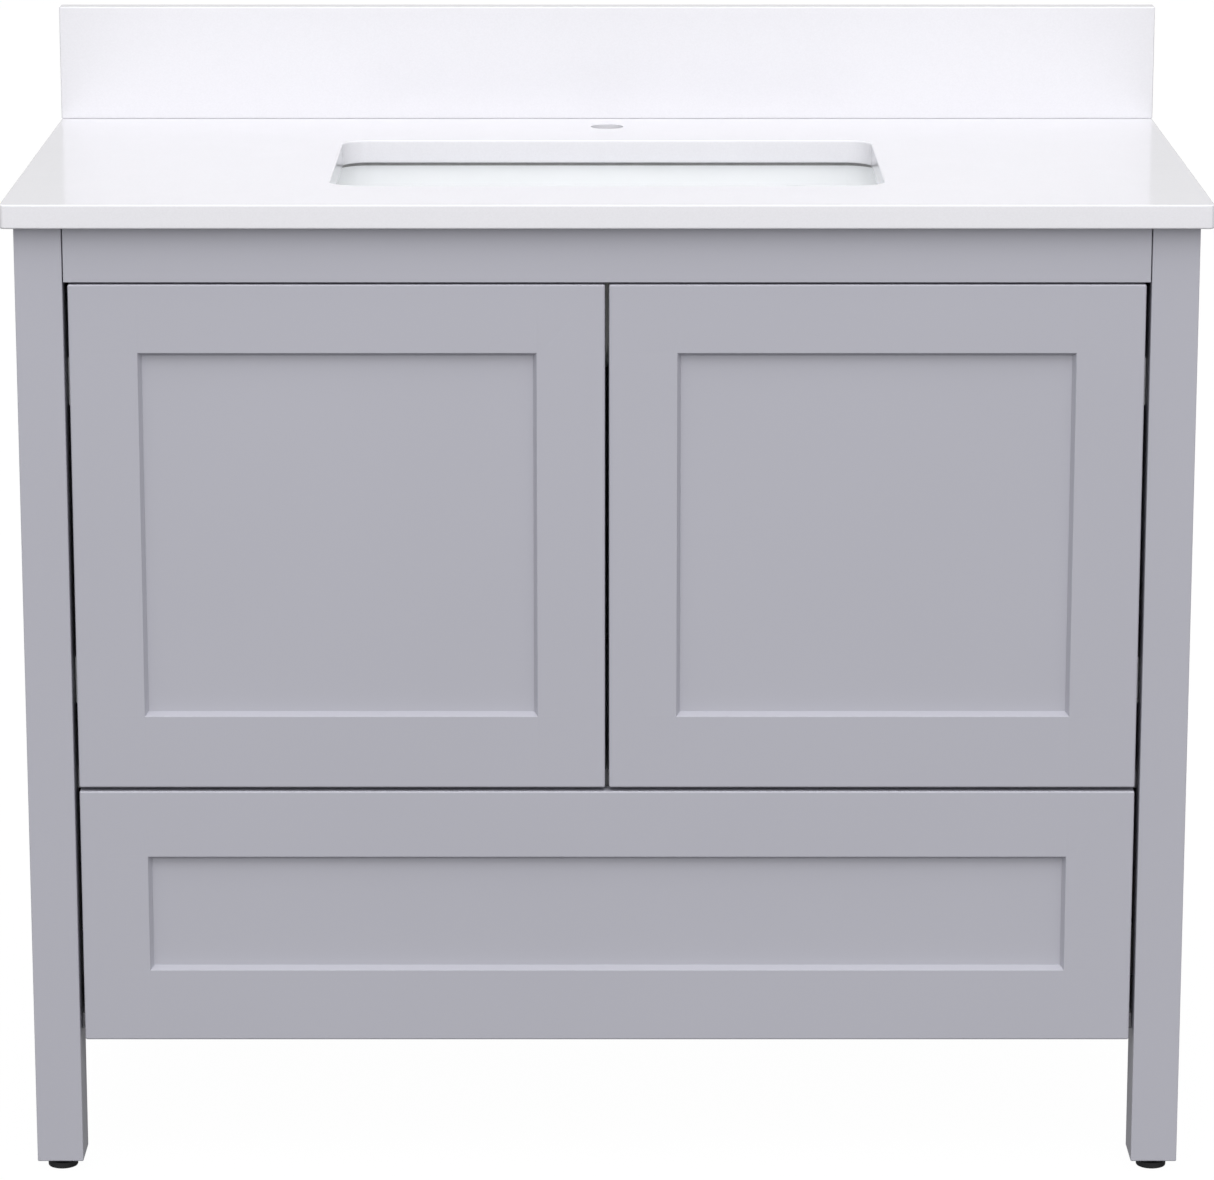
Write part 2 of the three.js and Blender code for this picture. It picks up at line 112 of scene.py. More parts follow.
def startMaterial(name, roughness, **sockets):
    material = bpy.data.materials.new(name)
    material.use_nodes = True
    tree = material.node_tree
    shader = tree.nodes["Principled BSDF"]
    shader.inputs["Roughness"].default_value = roughness
    for socket, value in sockets.items():
        shader.inputs[socket.replace("_", " ")].default_value = value
    place = tree.nodes.new("ShaderNodeTexCoord")
    return material, tree, shader, place


def addNode(tree, kind, inputs=None, **settings):
    made = tree.nodes.new(kind)
    for key, value in settings.items():
        setattr(made, key, value)
    for socket, value in (inputs or {}).items():
        if isinstance(value, bpy.types.NodeSocket):
            tree.links.new(value, made.inputs[socket])
        else:
            made.inputs[socket].default_value = value
    return made


def noise(tree, vector, scale, detail=2.0, roughness=0.5):
    made = addNode(tree, "ShaderNodeTexNoise", {"Vector": vector, "Scale": scale,
                                               "Detail": detail, "Roughness": roughness})
    return made.outputs["Fac"]


def ramp(tree, factor, stops):
    made = addNode(tree, "ShaderNodeValToRGB", {"Fac": factor})
    elements = made.color_ramp.elements
    while len(elements) < len(stops):
        elements.new(0.5)
    for element, (position, color) in zip(elements, stops):
        element.position = position
        element.color = (*color, 1)
    return made.outputs["Color"]


def between(tree, factor, low, high):
    made = addNode(tree, "ShaderNodeMapRange", {"Value": factor, "To Min": low, "To Max": high})
    return made.outputs["Result"]


def bump(tree, shader, height, strength, distance):
    made = addNode(tree, "ShaderNodeBump", {"Height": height, "Strength": strength,
                                           "Distance": distance})
    tree.links.new(made.outputs["Normal"], shader.inputs["Normal"])


def shade(color, factor):
    return tuple(channel * factor for channel in color)


def mottle(tree, shader, factor, colors, spread=(0.3, 0.7)):
    # the base colour drifts between two close tones
    tree.links.new(ramp(tree, factor, list(zip(spread, colors))), shader.inputs["Base Color"])


def varyGloss(tree, shader, factor, gloss):
    tree.links.new(between(tree, factor, *gloss), shader.inputs["Roughness"])


paintLook = {
    "color": (0.432, 0.431, 0.484),
    "cloudScale": 2.6,        # broad, barely visible differences in the sprayed coat
    "cloud": 0.012,
    "patchScale": 38,
    "gloss": (0.36, 0.44),
    "peelScale": 1300,        # orange peel, a little under a millimetre
    "peelStrength": 0.10,
    "peelDepth": 0.02 * mm,
}


def paintedWood():
    look = paintLook
    material, tree, shader, place = startMaterial("satinGreyPaint", 0.4, IOR=1.48)
    where = place.outputs["Object"]
    cloud = noise(tree, where, look["cloudScale"], 3)
    mottle(tree, shader, cloud, (shade(look["color"], 1 - look["cloud"]),
                                 shade(look["color"], 1 + look["cloud"])))
    varyGloss(tree, shader, noise(tree, where, look["patchScale"], 2), look["gloss"])
    peel = noise(tree, where, look["peelScale"], 1.5)
    bump(tree, shader, peel, look["peelStrength"], look["peelDepth"])
    return material


stoneLook = {
    "color": (0.775, 0.770, 0.805),
    "grainScale": 900,
    "grain": 0.015,
    "fleckScale": 420,
    "fleckAt": (0.68, 0.76),       # noise levels where a fleck begins and is full
    "fleckTint": (0.93, 0.93, 0.94),
    "smearScale": 14,
    "gloss": (0.10, 0.16),
}


def whiteStone():
    look = stoneLook
    material, tree, shader, place = startMaterial("whiteQuartz", 0.12, IOR=1.54)
    where = place.outputs["Object"]
    grain = addNode(tree, "ShaderNodeTexVoronoi", {"Vector": where, "Scale": look["grainScale"]})
    tone = addNode(tree, "ShaderNodeSeparateColor", {"Color": grain.outputs["Color"]})
    color = ramp(tree, tone.outputs["Red"], [(0.0, shade(look["color"], 1 - look["grain"])),
                                             (1.0, shade(look["color"], 1 + look["grain"]))])
    flecks = noise(tree, where, look["fleckScale"], 3, 0.6)
    tint = ramp(tree, flecks, list(zip(look["fleckAt"], ((1, 1, 1), look["fleckTint"]))))
    mixed = addNode(tree, "ShaderNodeMix", {"Factor": 1.0, 6: color, 7: tint},
                    data_type="RGBA", blend_type="MULTIPLY")
    tree.links.new(mixed.outputs[2], shader.inputs["Base Color"])
    varyGloss(tree, shader, noise(tree, where, look["smearScale"], 2), look["gloss"])
    return material


glazeLook = {
    "colors": ((0.87, 0.885, 0.90), (0.89, 0.905, 0.92)),
    "poolScale": 7,
    "waveScale": 26,          # the slow unevenness of a fired glaze
    "waveStrength": 0.08,
    "waveDepth": 0.4 * mm,
}


def basinGlaze():
    look = glazeLook
    material, tree, shader, place = startMaterial("whiteGlaze", 0.06, IOR=1.52, Coat_Weight=0.5,
                                                  Coat_Roughness=0.03)
    where = place.outputs["Object"]
    mottle(tree, shader, noise(tree, where, look["poolScale"], 2), look["colors"])
    bump(tree, shader, noise(tree, where, look["waveScale"], 1), look["waveStrength"],
         look["waveDepth"])
    return material


boardLook = {
    "colors": ((0.365, 0.365, 0.395), (0.385, 0.385, 0.415)),
    "cloudScale": 5,
    "patchScale": 60,
    "gloss": (0.46, 0.56),
    "texture": (1800, 0.12, 0.03 * mm),    # scale, strength, depth
}


def carcassBoard():
    look = boardLook
    material, tree, shader, place = startMaterial("greyFacedBoard", 0.5, IOR=1.48)
    where = place.outputs["Object"]
    scale, strength, depth = look["texture"]
    mottle(tree, shader, noise(tree, where, look["cloudScale"], 4), look["colors"])
    varyGloss(tree, shader, noise(tree, where, look["patchScale"], 2), look["gloss"])
    bump(tree, shader, noise(tree, where, scale, 2), strength, depth)
    return material


plyLook = {
    "face": ((0.62, 0.44, 0.255), (0.74, 0.56, 0.36)),
    "edge": ((0.43, 0.27, 0.135), (0.70, 0.52, 0.32)),
    "layers": 9,
    "acrossGrain": 110.0,
    "alongGrain": 5.0,
}


def plywood(name, thicknessAxis, grainAxis, face, thickness):
    # the sheet's plies show on its edges, and its face grain runs along grainAxis
    look = plyLook
    material, tree, shader, place = startMaterial(name, 0.42, IOR=1.5, Coat_Weight=0.25,
                                                  Coat_Roughness=0.25)
    where = place.outputs["Object"]
    stretch = [look["acrossGrain"]] * 3
    stretch[grainAxis] = look["alongGrain"]
    along = addNode(tree, "ShaderNodeMapping", {"Vector": where, "Scale": stretch})
    grain = noise(tree, along.outputs["Vector"], 1.0, 5, 0.62)
    faceColor = ramp(tree, grain, [(0.32, look["face"][0]), (0.68, look["face"][1])])
    axes = addNode(tree, "ShaderNodeSeparateXYZ", {"Vector": where})
    depth = addNode(tree, "ShaderNodeMath", {0: axes.outputs[thicknessAxis], 1: face},
                    operation="SUBTRACT")
    layer = addNode(tree, "ShaderNodeMath",
                    {0: depth.outputs[0], 1: pi * look["layers"] / thickness},
                    operation="MULTIPLY")
    wave = addNode(tree, "ShaderNodeMath", {0: layer.outputs[0]}, operation="SINE")
    stripes = between(tree, wave.outputs[0], 0.25, 0.75)
    edgeColor = ramp(tree, stripes, [(0.42, look["edge"][0]), (0.58, look["edge"][1])])
    # the face's normal lies along the thickness, and an edge's across it
    tilt = addNode(tree, "ShaderNodeSeparateXYZ", {"Vector": place.outputs["Normal"]})
    flat = addNode(tree, "ShaderNodeMath", {0: tilt.outputs[thicknessAxis]},
                   operation="ABSOLUTE")
    onFace = addNode(tree, "ShaderNodeMath", {0: flat.outputs[0], 1: 0.6},
                     operation="GREATER_THAN")
    mixed = addNode(tree, "ShaderNodeMix", {"Factor": onFace.outputs[0], 6: edgeColor,
                                           7: faceColor}, data_type="RGBA")
    tree.links.new(mixed.outputs[2], shader.inputs["Base Color"])
    bump(tree, shader, grain, 0.15, 0.05 * mm)
    return material


zincLook = {
    "colors": ((0.60, 0.61, 0.64), (0.68, 0.69, 0.71)),
    "spangleScale": 260,
    "patchScale": 180,
    "gloss": (0.24, 0.38),
    "texture": (900, 0.12, 0.02 * mm),
}


def zincPlate():
    look = zincLook
    material, tree, shader, place = startMaterial("brightZinc", 0.3, Metallic=1.0)
    where = place.outputs["Object"]
    spangle = addNode(tree, "ShaderNodeTexVoronoi", {"Vector": where,
                                                     "Scale": look["spangleScale"]})
    tone = addNode(tree, "ShaderNodeSeparateColor", {"Color": spangle.outputs["Color"]})
    scale, strength, depth = look["texture"]
    mottle(tree, shader, tone.outputs["Red"], look["colors"], (0.0, 1.0))
    varyGloss(tree, shader, noise(tree, where, look["patchScale"], 3), look["gloss"])
    bump(tree, shader, noise(tree, where, scale, 2), strength, depth)
    return material


slideLook = {
    "colors": ((0.022, 0.022, 0.024), (0.04, 0.04, 0.042)),
    "wearScale": 70,
    "gloss": (0.34, 0.48),
    "texture": (1400, 0.15, 0.02 * mm),
}


def blackCoat():
    look = slideLook
    material, tree, shader, place = startMaterial("blackSlideCoat", 0.4, Metallic=0.4)
    where = place.outputs["Object"]
    wear = noise(tree, where, look["wearScale"], 4)
    scale, strength, depth = look["texture"]
    mottle(tree, shader, wear, look["colors"], (0.35, 0.75))
    varyGloss(tree, shader, wear, look["gloss"])
    bump(tree, shader, noise(tree, where, scale, 2), strength, depth)
    return material


latchLook = {
    "colors": ((0.205, 0.205, 0.215), (0.225, 0.225, 0.235)),
    "flowScale": 45,
    "gloss": (0.4, 0.5),
    "texture": (2600, 0.25, 0.03 * mm),
}


def latchPlastic():
    look = latchLook
    material, tree, shader, place = startMaterial("greyMouldedPlastic", 0.45, IOR=1.49)
    where = place.outputs["Object"]
    flow = noise(tree, where, look["flowScale"], 2)
    scale, strength, depth = look["texture"]
    mottle(tree, shader, flow, look["colors"])
    varyGloss(tree, shader, flow, look["gloss"])
    bump(tree, shader, noise(tree, where, scale, 2), strength, depth)
    return material


rubberLook = {
    "colors": ((0.012, 0.012, 0.013), (0.03, 0.03, 0.032)),
    "dustScale": 90,
    "gloss": (0.6, 0.8),
    "texture": (1500, 0.3, 0.05 * mm),
}


def footRubber():
    look = rubberLook
    material, tree, shader, place = startMaterial("blackRubber", 0.7, IOR=1.5)
    where = place.outputs["Object"]
    dust = noise(tree, where, look["dustScale"], 4)
    scale, strength, depth = look["texture"]
    mottle(tree, shader, dust, look["colors"], (0.35, 0.75))
    varyGloss(tree, shader, dust, look["gloss"])
    bump(tree, shader, noise(tree, where, scale, 3), strength, depth)
    return material


# the bead's dark grey tones are painted shade along the seam under the stone
sealantShadeLook = {
    "colors": ((0.22, 0.215, 0.215), (0.26, 0.255, 0.255)),
    "smearScale": 120,
    "gloss": (0.3, 0.45),
}


def sealantPaintedShade():
    look = sealantShadeLook
    material, tree, shader, place = startMaterial("greySilicone", 0.35, IOR=1.45)
    smear = noise(tree, place.outputs["Object"], look["smearScale"], 3)
    mottle(tree, shader, smear, look["colors"])
    varyGloss(tree, shader, smear, look["gloss"])
    return material


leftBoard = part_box("drawer_box_left_side")
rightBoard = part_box("drawer_box_right_side")
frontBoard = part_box("drawer_box_front")
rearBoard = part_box("drawer_box_back")
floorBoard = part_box("drawer_box_floor")


def sheetOf(name, box, thicknessAxis, grainAxis):
    low, high = box
    thickness = high[thicknessAxis] - low[thicknessAxis]
    return plywood(name, thicknessAxis, grainAxis, low[thicknessAxis], thickness)


finishes = {
    "painted_wood": paintedWood(),
    "stone_top": whiteStone(),
    "basin_glaze": basinGlaze(),
    "carcass_board": carcassBoard(),
    "drawer_board:left": sheetOf("birchLeftSide", leftBoard, 0, 1),
    "drawer_board:right": sheetOf("birchRightSide", rightBoard, 0, 1),
    "drawer_board:front": sheetOf("birchFront", frontBoard, 1, 0),
    "drawer_board:back": sheetOf("birchBack", rearBoard, 1, 0),
    "drawer_board:floor": sheetOf("birchFloor", floorBoard, 2, 0),
    "zinc_hardware": zincPlate(),
    "zinc_hardware:slide": blackCoat(),
    "latch_plastic": latchPlastic(),
    "foot_rubber": footRubber(),
    # dark grey bead under the stone: painted shade for the seam's shadow
    "foot_rubber:sealant": sealantPaintedShade(),
}
print("materials ready")


def ring(bm, centre, half, radius, z, steps):
    # a round-cornered rectangle: a circle with its four quarters moved apart, turned by half a
    # step so that the sides stay straight
    turn = Matrix.Rotation(pi / (4 * steps), 4, "Z")
    made = bmesh.ops.create_circle(bm, radius=radius, segments=4 * steps, matrix=turn)["verts"]
    for v in made:
        v.co.x += copysign(half[0] - radius, v.co.x) + centre[0]
        v.co.y += copysign(half[1] - radius, v.co.y) + centre[1]
        v.co.z = z
    # each edge once, in a fixed order, so that every run fills and bevels alike
    return list(dict.fromkeys(e for v in made for e in v.link_edges))


def sweepRings(bm, centre, stations, steps):
    # a wall drawn on from ring to ring, each one given as (half sizes, corner radius, z)
    edges = ring(bm, centre, *stations[0], steps)
    for (half, radius, _), (newHalf, newRadius, z) in zip(stations, stations[1:] + stations[:1]):
        drawn = bmesh.ops.extrude_edge_only(bm, edges=edges)["geom"]
        verts = {g for g in drawn if isinstance(g, bmesh.types.BMVert)}
        edges = [g for g in drawn if isinstance(g, bmesh.types.BMEdge) and set(g.verts) <= verts]
        for v in verts:
            for axis in (0, 1):
                away = v.co[axis] - centre[axis]
                bend = (abs(away) - half[axis] + radius) / radius
                v.co[axis] = centre[axis] + copysign(newHalf[axis] + newRadius * (bend - 1), away)
            v.co.z = z
    bmesh.ops.remove_doubles(bm, verts=bm.verts, dist=0.001 * mm)


stoneTop = {
    "corner": 5 * mm,
    "cutoutCorner": 25 * mm,
    "cutout": (512 * mm, 113 * mm, 148 * mm),   # width, stone before it, stone behind to the splash
    "faucetHole": 32 * mm,
    "faucetSetback": 54 * mm,
    "arris": 1.6 * mm,
    "drilledArris": 0.4 * mm,       # round the faucet hole
    "splashArris": 1.2 * mm,
    "steps": 14,
}
slabLow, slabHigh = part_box("countertop")
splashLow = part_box("backsplash")[0]
topZ = splashLow.z
cutWidth, stoneBefore, stoneBehind = stoneTop["cutout"]
cutFront, cutRear = slabLow.y + stoneBefore, splashLow.y - stoneBehind
cutCentre = (0, (cutFront + cutRear) / 2)
cutHalf = (cutWidth / 2, (cutRear - cutFront) / 2)


def makeCountertop():
    look = stoneTop
    bm = bmesh.new()
    steps = look["steps"]
    outline = ring(bm, ((slabLow.x + slabHigh.x) / 2, (slabLow.y + slabHigh.y) / 2),
                   ((slabHigh.x - slabLow.x) / 2, (slabHigh.y - slabLow.y) / 2),
                   look["corner"], topZ, 6)
    opening = ring(bm, cutCentre, cutHalf, look["cutoutCorner"], topZ, steps)
    holeRadius, holeY = look["faucetHole"] / 2, splashLow.y - look["faucetSetback"]
    hole = ring(bm, (0, holeY), (holeRadius, holeRadius), holeRadius, topZ, steps)
    bmesh.ops.triangle_fill(bm, use_beauty=True, use_dissolve=False,
                            edges=outline + opening + hole)
    walls = bmesh.ops.extrude_face_region(bm, geom=bm.faces[:])
    lowered = [g for g in walls["geom"] if isinstance(g, bmesh.types.BMVert)]
    bmesh.ops.translate(bm, verts=lowered, vec=(0, 0, slabLow.z - topZ))
    bmesh.ops.recalc_face_normals(bm, faces=bm.faces)
    arrises = sharpEdges(bm, lambda e: liesOn(e, 2, topZ) or liesOn(e, 2, slabLow.z))
    drilled = [e for e in arrises
               if (e.verts[0].co.xy - Vector((0, holeY))).length < 1.1 * holeRadius]
    others = [e for e in arrises if e not in drilled]
    for edges, width in ((drilled, look["drilledArris"]), (others, look["arris"])):
        bmesh.ops.bevel(bm, geom=edges, offset=width, segments=4, profile=0.5,
                        affect="EDGES", material=-1, clamp_overlap=False, loop_slide=False)
    finishPiece(bm, "countertop", "stone_top", "stoneTop")


def makeBacksplash():
    bm = nodeCopy("backsplash")
    ease(bm, sharpEdges(bm), stoneTop["splashArris"], 3)
    finishPiece(bm, "backsplash", "stone_top", "stoneSplash")


makeCountertop()
makeBacksplash()
print("stone top made")


basin = {
    "reveal": 6 * mm,
    "wall": 9 * mm,
    "floor": 12 * mm,
    "rim": 20 * mm,
    "rimThickness": 12 * mm,
    "floorRadius": 24 * mm,
    "drain": 45 * mm,
    "fall": 4 * mm,        # of the floor towards the drain
    "mouth": 3 * mm,       # rounding of the bowl's upper edge
    "clipEdge": 0.5 * mm,
    "steps": 14,
}


def offset(distance, z):
    # the bowl's inside outline, moved outwards
    half = [h + basin["reveal"] + distance for h in cutHalf]
    return half, stoneTop["cutoutCorner"] + basin["reveal"] + distance, z


def makeBasin():
    look = basin
    low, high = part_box("sink_basin")
    steps, r = look["steps"], look["floorRadius"]
    floorZ = low.z + look["floor"]
    drainRadius = look["drain"] / 2
    wall, rim, fall = look["wall"], look["rim"], look["fall"]
    mouth = look["mouth"]
    angles = [radians(90 / 8 * i) for i in range(9)]

    def drain(growth, z):
        return [drainRadius + growth] * 2, drainRadius + growth, z

    stations = [offset(mouth * (1 - sin(a)), high.z - mouth * (1 - cos(a))) for a in angles]
    stations += [offset(-r * (1 - cos(a)), floorZ + fall + r * (1 - sin(a))) for a in angles]
    half, radius, z = stations[-1]
    middle = [(h + drainRadius) / 2 for h in half]
    stations += [(middle, (radius + drainRadius) / 2, floorZ + 0.5 * fall),
                 drain(3 * mm, floorZ), drain(0.8 * mm, floorZ - 0.4 * mm),
                 drain(0, floorZ - 2 * mm), drain(0, low.z)]
    stations += [offset(wall - r * (1 - cos(a)), low.z + r * (1 - sin(a)))
                 for a in reversed(angles)]
    rimUnder = high.z - look["rimThickness"]
    stations += [offset(wall, rimUnder - 4 * mm), offset(wall + 1.2 * mm, rimUnder - 1.2 * mm),
                 offset(wall + 4 * mm, rimUnder), offset(wall + rim - 2 * mm, rimUnder),
                 offset(wall + rim, rimUnder + 2 * mm), offset(wall + rim, high.z - 1 * mm),
                 offset(wall + rim - 1 * mm, high.z)]
    bm = bmesh.new()
    sweepRings(bm, cutCentre, stations, steps)
    finishPiece(bm, "sink_basin", "basin_glaze", smoothAngle=50)


def makeShadeSealant():
    # a grey silicone bead in the corner between the stone and the bowl's rounded mouth; its dark
    # grey is painted shade for the shadow under the stone's edge
    top = slabLow.z - 0.05 * mm
    # millimetres out from the bowl's outline and down from the stone
    profile = [(-1.3, 0), (-1.0, 1.6), (-0.15, 3.4), (0.1, 2.2), (0.6, 1.05), (1.6, 0.25), (1.8, 0)]
    bm = bmesh.new()
    sweepRings(bm, cutCentre, [offset(away * mm, top - down * mm) for away, down in profile],
               basin["steps"])
    finishPiece(bm, "sink_basin", "foot_rubber:sealant", "basinSealant", stands=False)


def makeClips():
    for node in [n for n in frame["nodes"] if n.startswith("sink_clip")]:
        bm = nodeCopy(node)
        ease(bm, sharpEdges(bm), basin["clipEdge"])
        finishPiece(bm, node, "zinc_hardware")


makeBasin()
makeShadeSealant()
makeClips()
print("basin made")


eased = {
    "post": 1.0 * mm,
    "apron": 0.45 * mm,
    "apronJoint": 0.7 * mm,    # open line where the apron meets each post
    "panel": 0.5 * mm,
    "board": 0.3 * mm,
    "longEdge": 20 * mm,       # shorter edges of a post are left alone
}


def makeFrame():
    for node in [n for n in frame["nodes"] if n.endswith("_post")]:
        bm = nodeCopy(node)
        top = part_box(node)[1].z
        ease(bm, sharpEdges(bm, lambda e: not liesOn(e, 2, top)
                            and e.calc_length() > eased["longEdge"]), eased["post"], 3)
        finishPiece(bm, node, "painted_wood")
    for node, slot, width in (("apron", "painted_wood", eased["apron"]),
                              ("left_side_panel", "painted_wood", eased["panel"]),
                              ("right_side_panel", "painted_wood", eased["panel"]),
                              ("back_top_rail", "carcass_board", eased["board"]),
                              ("back_panel", "carcass_board", eased["board"]),
                              ("deck", "carcass_board", eased["board"]),
                              ("bottom_panel", "carcass_board", eased["board"])):
        bm = nodeCopy(node)
        if node == "apron":
            for v in bm.verts:
                v.co.x -= copysign(eased["apronJoint"], v.co.x)
        ease(bm, sharpEdges(bm), width)
        finishPiece(bm, node, slot, pieceName("cabinet_" + node))


foot = {
    "edge": 1.2 * mm,
    "pad": 14 * mm,
    "padHeight": 6 * mm,
    "collar": 7.5 * mm,
    "collarTop": 10.4 * mm,
    "stud": 4 * mm,
    "pitch": 1.25 * mm,
    "threadDepth": 0.55 * mm,
    "padSteps": 40,
    "studSteps": 24,
}


def chain(bm, points):
    # a profile of joined edges in the X and Z plane
    verts = [bm.verts.new((r, 0, z)) for r, z in points]
    return verts, [bm.edges.new(pair) for pair in zip(verts, verts[1:])]


def spinRound(bm, points, centre, steps):
    verts, edges = chain(bm, points)
    bmesh.ops.spin(bm, geom=verts + edges, cent=(0, 0, 0), axis=(0, 0, 1), dvec=(0, 0, 0),
                   angle=2 * pi, steps=steps, use_merge=True, use_duplicate=False)
    bmesh.ops.remove_doubles(bm, verts=bm.verts, dist=0.002 * mm)
    bmesh.ops.translate(bm, verts=bm.verts, vec=centre)


def makeFeet():
    look = foot
    pad, edge, top = look["pad"], look["edge"], look["padHeight"]
    collar, collarTop = look["collar"], look["collarTop"]
    stud, root, pitch = look["stud"], look["stud"] - look["threadDepth"], look["pitch"]
    for node in [n for n in frame["nodes"] if n.endswith("_foot")]:
        low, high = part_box(node)
        centre = ((low.x + high.x) / 2, (low.y + high.y) / 2, low.z)
        profile = [(0, 0), (pad - edge, 0), (pad - 0.3 * edge, 0.3 * edge), (pad, edge),
                   (pad, top - edge), (pad - 0.3 * edge, top - 0.3 * edge), (pad - edge, top),
                   (collar + edge, top + 0.15 * edge), (collar, top + edge),
                   (collar, collarTop), (stud - 0.4 * mm, collarTop), (0, collarTop)]
        bm = bmesh.new()
        spinRound(bm, profile, centre, look["padSteps"])
        finishPiece(bm, node, "foot_rubber", pieceName(node) + "Pad")
        # the stud's thread stays inside the post
        tall = high.z - low.z
        thread = [(0, collarTop)]
        z = collarTop
        while z < tall - pitch:
            thread += [(root, z), (stud, z + 0.5 * pitch)]
            z += pitch
        thread += [(root, z), (stud - 1 * mm, tall), (0, tall)]
        bm = bmesh.new()
        spinRound(bm, thread, centre, look["studSteps"])
        finishPiece(bm, node, "zinc_hardware", pieceName(node) + "Stud", stands=False)


makeFrame()
makeFeet()
print("frame and feet made")


framedFront = {
    "arris": 1.8 * mm,
    "crease": 0.45 * mm,     # at the top of the sloped edge round the panel
    "stile": 62 * mm,
    "recess": 6.8 * mm,
    "closeRail": 0.446 * mm,  # rails reach the stiles, under one coat of paint
}


def makeFramedFront(prefix):
    look = framedFront
    leftLow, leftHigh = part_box(prefix + "_left_stile")
    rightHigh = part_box(prefix + "_right_stile")[1]
    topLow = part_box(prefix + "_top_rail")[0]
    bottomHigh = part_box(prefix + "_bottom_rail")[1]
    faceY, backY = leftLow.y, leftHigh.y
    outerX, outerZ = (leftLow.x, rightHigh.x), (leftLow.z, leftHigh.z)
    slopeWidth = leftHigh.x - leftLow.x - look["stile"]
    # heights where the stile's own edge comes out from under the rails
    shoulders = (bottomHigh.z - slopeWidth, topLow.z + slopeWidth)

    def onRim(e):
        atX = any(liesOn(e, 0, x) for x in outerX)
        atZ = any(liesOn(e, 2, z) for z in outerZ)
        return (atX and atZ) or ((atX or atZ) and (liesOn(e, 1, faceY) or liesOn(e, 1, backY)))

    for hand, creaseX in (("left", leftLow.x + look["stile"]),
                          ("right", rightHigh.x - look["stile"])):
        node = f"{prefix}_{hand}_stile"
        bm = nodeCopy(node)
        for z in shoulders:
            bmesh.ops.bisect_plane(bm, geom=bm.verts[:] + bm.edges[:] + bm.faces[:],
                                   plane_co=(0, 0, z), plane_no=(0, 0, 1), dist=0.001 * mm)
        free = [e for e in bm.edges if liesOn(e, 1, faceY) and liesOn(e, 0, creaseX)
                and shoulders[0] < (e.verts[0].co.z + e.verts[1].co.z) / 2 < shoulders[1]]
        ease(bm, free, look["crease"])
        ease(bm, sharpEdges(bm, onRim), look["arris"], 3)
        finishPiece(bm, node, "painted_wood")

    for level, creaseZ in (("top", shoulders[1]), ("bottom", shoulders[0])):
        node = f"{prefix}_{level}_rail"
        bm = nodeCopy(node)
        middle = (outerX[0] + outerX[1]) / 2
        for v in bm.verts:
            v.co.x += copysign(look["closeRail"], v.co.x - middle)
        ease(bm, [e for e in bm.edges if liesOn(e, 1, faceY) and liesOn(e, 2, creaseZ)],
             look["crease"])
        ease(bm, sharpEdges(bm, onRim), look["arris"], 3)
        finishPiece(bm, node, "painted_wood")

    node = prefix + "_panel"
    bm = nodeCopy(node)
    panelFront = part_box(node)[0].y
    for v in bm.verts:
        if abs(v.co.y - panelFront) < 0.02 * mm:
            v.co.y = faceY + look["recess"]
    finishPiece(bm, node, "painted_wood")


for front in ("left_door", "right_door", "drawer_front"):
    makeFramedFront(front)
print("doors and drawer front made")


smallEdges = {
    "drawerBoard": 0.6 * mm,
    "slide": 0.3 * mm,
    "hinge": 0.3 * mm,
    "latch": 0.4 * mm,
}


def makeSmallParts():
    look = smallEdges
    for board in ("left_side", "right_side", "front", "back", "floor"):
        node = "drawer_box_" + board
        bm = nodeCopy(node)
        if board != "floor":
            ease(bm, sharpEdges(bm), look["drawerBoard"])
        finishPiece(bm, node, "drawer_board:" + board.split("_")[0])
    for kind, slot, easedFrom, smoothTo in (("slide", "zinc_hardware:slide", 35, 35),
                                            ("hinge", "zinc_hardware", 40, 30),
                                            ("latch", "latch_plastic", 40, 30)):
        for node in [n for n in frame["nodes"] if f"_{kind}_" in n]:
            bm = nodeCopy(node)
            ease(bm, sharpEdges(bm, angle=easedFrom), look[kind])
            finishPiece(bm, node, slot, smoothAngle=smoothTo)


makeSmallParts()
print("drawer box and hardware made")


studio = {
    "reach": 40.0,          # metres of floor and backdrop round the cabinet
    "floorGlow": 0.985,
    "floorColor": 0.02,
    "backdrop": 0.985,
    "fill": 0.32,           # brightness of the studio all round
    "front": 0.90,          # what is added towards the front
    "behind": 0.40,         # what is added towards the back
    "overhead": 3.9,        # what is added round the ceiling light
    "overheadTilt": 24.0,   # degrees that light leans to the front
    "overheadSpread": 0.14,
    "below": 0.06,          # share that is left straight below
    "softBox": (2.4, 1.2),  # metres
    "softBoxPlace": (0.0, -1.6, 1.9),      # Y is from the front edge of the top
    "softBoxPower": 8.5,
    "lens": 149.27,
    "cameraPlace": (0.0, -4.465, 1.647),   # Y is from the front edge of the top
    "cameraPitch": 12.909,
    "cameraShift": -0.05,
}


def stagePiece(name, bm, color, glow):
    # seen by the camera, and left out of the light that falls on the cabinet
    mesh = bpy.data.meshes.new(name)
    bm.to_mesh(mesh)
    bm.free()
    piece = bpy.data.objects.new(name, mesh)
    bpy.context.scene.collection.objects.link(piece)
    mesh.materials.append(startMaterial(name, 0.9, Base_Color=(color, color, color, 1),
                                        Emission_Color=(1, 1, 1, 1), Emission_Strength=glow,
                                        Specular_IOR_Level=0.0)[0])
    piece.visible_diffuse = piece.visible_glossy = piece.visible_shadow = False


def makeStage():
    look = studio
    bm = bmesh.new()
    bmesh.ops.create_grid(bm, x_segments=1, y_segments=1, size=look["reach"])
    stagePiece("studioFloor", bm, look["floorColor"], look["floorGlow"])
    bm = bmesh.new()
    bmesh.ops.create_uvsphere(bm, u_segments=48, v_segments=24, radius=0.9 * look["reach"])
    stagePiece("studioBackdrop", bm, 0.0, look["backdrop"])


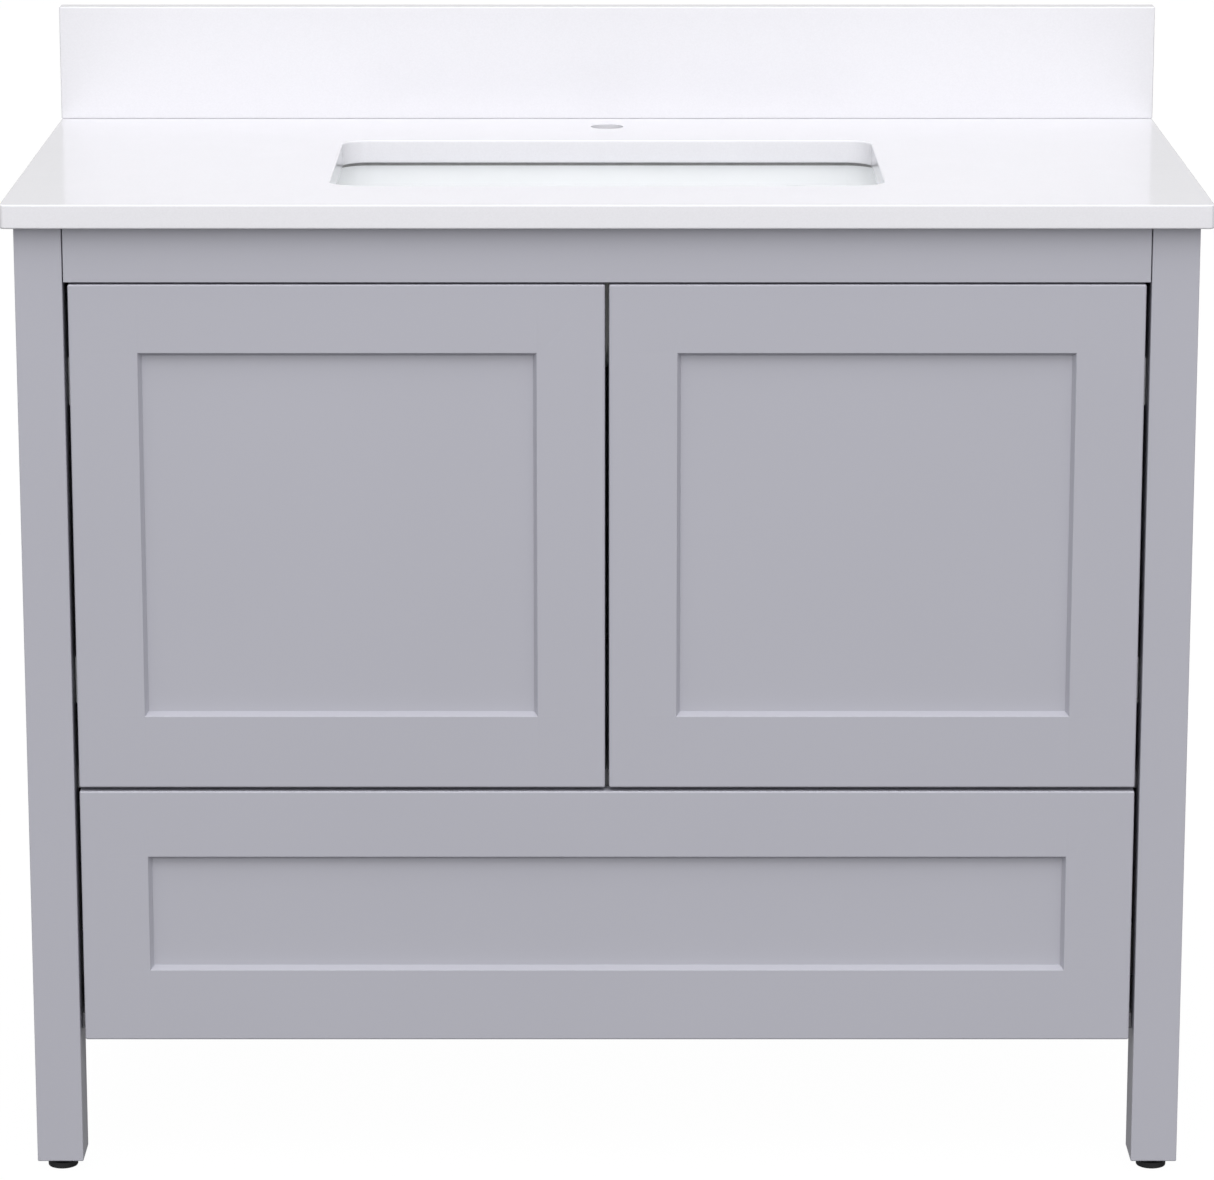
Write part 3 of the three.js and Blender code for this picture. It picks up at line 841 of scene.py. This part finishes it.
def makeLight():
    look = studio
    world = bpy.data.worlds.new("whiteStudio")
    bpy.context.scene.world = world
    world.use_nodes = True
    tree = world.node_tree
    background = tree.nodes["Background"]
    where = addNode(tree, "ShaderNodeTexCoord")
    axes = addNode(tree, "ShaderNodeSeparateXYZ", {"Vector": where.outputs["Generated"]})

    def lobe(along, start, end, amount, shape="LINEAR", least=0.0):
        made = addNode(tree, "ShaderNodeMapRange",
                       {"Value": along, "From Min": start, "From Max": end,
                        "To Min": least, "To Max": amount}, interpolation_type=shape)
        return made.outputs["Result"]

    def combine(one, other, operation="ADD"):
        return addNode(tree, "ShaderNodeMath", {0: one, 1: other}, operation=operation).outputs[0]

    depth, height = axes.outputs["Y"], axes.outputs["Z"]
    tilt = radians(look["overheadTilt"])
    towards = addNode(tree, "ShaderNodeVectorMath", {0: where.outputs["Generated"],
                                                     1: (0, -sin(tilt), cos(tilt))},
                      operation="DOT_PRODUCT")
    walls = combine(lobe(depth, 0.0, -1.0, look["front"]), lobe(depth, 0.0, 1.0, look["behind"]))
    ceiling = lobe(towards.outputs["Value"], 1 - look["overheadSpread"], 1.0, look["overhead"],
                   "SMOOTHSTEP")
    total = combine(combine(walls, ceiling), look["fill"])
    horizon = lobe(height, -0.8, 0.25, 1.0, least=look["below"])
    background.inputs["Color"].default_value = (1, 1, 1, 1)
    tree.links.new(combine(total, horizon, "MULTIPLY"), background.inputs["Strength"])
    bpy.context.scene.view_settings.view_transform = "Standard"

    softBox = bpy.data.objects.new("softBox", bpy.data.lights.new("softBox", "AREA"))
    softBox.data.shape = "RECTANGLE"
    softBox.data.size, softBox.data.size_y = look["softBox"]
    softBox.data.energy = look["softBoxPower"]
    x, y, z = look["softBoxPlace"]
    softBox.location = (x, slabLow.y + y, z)
    aim = Vector((0, slabLow.y, topZ)) - softBox.location
    softBox.rotation_euler = aim.to_track_quat("-Z", "Y").to_euler()
    softBox.visible_camera = False
    bpy.context.scene.collection.objects.link(softBox)


def makeCamera():
    look = studio
    camera = bpy.data.objects.new("studioCamera", bpy.data.cameras.new("studioCamera"))
    bpy.context.scene.collection.objects.link(camera)
    x, y, z = look["cameraPlace"]
    camera.location = (x, slabLow.y + y, z)
    camera.rotation_euler = (radians(90 - look["cameraPitch"]), 0, 0)
    camera.data.lens = look["lens"]
    camera.data.sensor_width = 36
    camera.data.shift_y = look["cameraShift"]
    camera.data.clip_end = 100
    bpy.context.scene.camera = camera


makeStage()
makeLight()
makeCamera()
print("studio ready")
